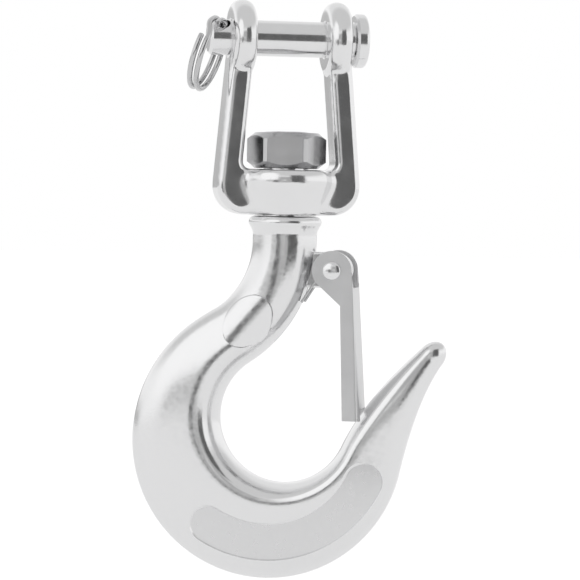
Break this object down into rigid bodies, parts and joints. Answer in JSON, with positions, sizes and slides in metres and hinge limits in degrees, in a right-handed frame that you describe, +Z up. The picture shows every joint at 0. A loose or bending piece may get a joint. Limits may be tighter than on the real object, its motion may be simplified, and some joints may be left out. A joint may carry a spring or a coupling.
{
  "type": "swivel hook",
  "caption": "Polished stainless jaw swivel hook with a removable load pin, a free-turning shank and a sprung safety latch across the hook's mouth.",
  "frame": {"origin": "middle of the load pin, on its axis and midway between the jaw's ears", "axes": "+X along the load pin towards its head, +Z up the swivel axis, -Y the front"},
  "size_m": [0.0929, 0.0405, 0.1791],
  "materials": {
    "polished_stainless": "mirror polished",
    "satin_stainless": "satin",
    "spring_wire": "drawn"
  },
  "bodies": {
    "jaw": {"jaw": "polished_stainless"},
    "hook": {"hook": "polished_stainless", "swivel_nut": "satin_stainless", "latch_spring": "spring_wire"},
    "latch": {"latch": "satin_stainless", "latch_rivet": "polished_stainless"},
    "clevis_pin": {"clevis_pin": "polished_stainless"},
    "split_ring": {"split_ring": "spring_wire"}
  },
  "joints": [
    {"name": "hook_swivel", "type": "hinge", "parent": "jaw", "child": "hook", "pos_m": [0, 0, -0.0473], "axis": [0, 0, 1], "continuous": true},
    {"name": "latch_swing", "type": "hinge", "parent": "hook", "child": "latch", "pos_m": [0.01503, -0.00547, -0.0711], "axis": [0.342, 0.9397, 0], "range_deg": [0, 45], "stiffness_Nm_per_rad": 0.15, "springref_deg": -28.65, "deforming": ["latch_spring"]},
    {"name": "pin_spin", "type": "hinge", "parent": "jaw", "child": "clevis_pin", "pos_m": [0, 0, 0], "axis": [1, 0, 0], "continuous": true},
    {"name": "ring_swing", "type": "hinge", "parent": "clevis_pin", "child": "split_ring", "pos_m": [-0.0213, 0, 0], "axis": [0, 0.6157, -0.788], "range_deg": [-15, 130]}
  ]
}
